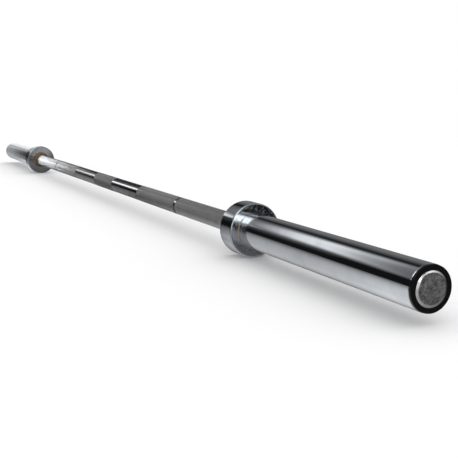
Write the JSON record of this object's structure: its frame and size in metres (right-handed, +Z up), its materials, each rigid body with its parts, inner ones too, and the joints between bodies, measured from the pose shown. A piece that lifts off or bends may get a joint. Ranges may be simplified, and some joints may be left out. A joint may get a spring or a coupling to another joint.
{
  "type": "olympic barbell",
  "caption": "Straight weightlifting bar: a knurled chromed shaft with a free-turning sleeve and collar at each end, running on bronze bushes, for round weight plates.",
  "frame": {"origin": "on the bar's axis, at the middle of its length", "axes": "+X along the bar towards the right sleeve, +Z up, +Y away from the user"},
  "size_m": [2.2, 0.076, 0.076],
  "materials": {
    "shaft_chrome": "chromed steel, knurled in the grip and smooth between",
    "sleeve_chrome": "polished chrome plate on steel",
    "bush_bronze": "machined oil-filled bronze",
    "washer_steel": "ground steel",
    "spring_steel": "blackened spring steel",
    "cap_black": "moulded black plastic",
    "plate_satin": "satin stainless steel, bare"
  },
  "bodies": {
    "shaft": {"shaft": "shaft_chrome", "right_spring_washer": "spring_steel", "right_retaining_ring": "spring_steel", "left_spring_washer": "spring_steel", "left_retaining_ring": "spring_steel"},
    "right_sleeve": {"right_collar": "sleeve_chrome", "right_sleeve_tube": "sleeve_chrome", "right_inner_bush": "bush_bronze", "right_outer_bush": "bush_bronze", "right_end_cap": "cap_black", "right_end_plate": "plate_satin"},
    "left_sleeve": {"left_collar": "sleeve_chrome", "left_sleeve_tube": "sleeve_chrome", "left_inner_bush": "bush_bronze", "left_outer_bush": "bush_bronze", "left_end_cap": "cap_black", "left_end_plate": "plate_satin"},
    "right_inner_washer": {"right_inner_thrust_washer": "washer_steel"},
    "right_outer_washer": {"right_outer_thrust_washer": "washer_steel"},
    "left_inner_washer": {"left_inner_thrust_washer": "washer_steel"},
    "left_outer_washer": {"left_outer_thrust_washer": "washer_steel"}
  },
  "joints": [
    {"name": "right_sleeve_spin", "type": "hinge", "parent": "shaft", "child": "right_sleeve", "pos_m": [0.9, 0, 0], "axis": [1, 0, 0], "continuous": true},
    {"name": "left_sleeve_spin", "type": "hinge", "parent": "shaft", "child": "left_sleeve", "pos_m": [-0.9, 0, 0], "axis": [1, 0, 0], "continuous": true},
    {"name": "right_inner_washer_spin", "type": "hinge", "parent": "shaft", "child": "right_inner_washer", "pos_m": [0.677, 0, 0], "axis": [1, 0, 0], "continuous": true},
    {"name": "right_outer_washer_spin", "type": "hinge", "parent": "shaft", "child": "right_outer_washer", "pos_m": [1.07, 0, 0], "axis": [1, 0, 0], "continuous": true},
    {"name": "left_inner_washer_spin", "type": "hinge", "parent": "shaft", "child": "left_inner_washer", "pos_m": [-0.677, 0, 0], "axis": [1, 0, 0], "continuous": true},
    {"name": "left_outer_washer_spin", "type": "hinge", "parent": "shaft", "child": "left_outer_washer", "pos_m": [-1.07, 0, 0], "axis": [1, 0, 0], "continuous": true}
  ]
}
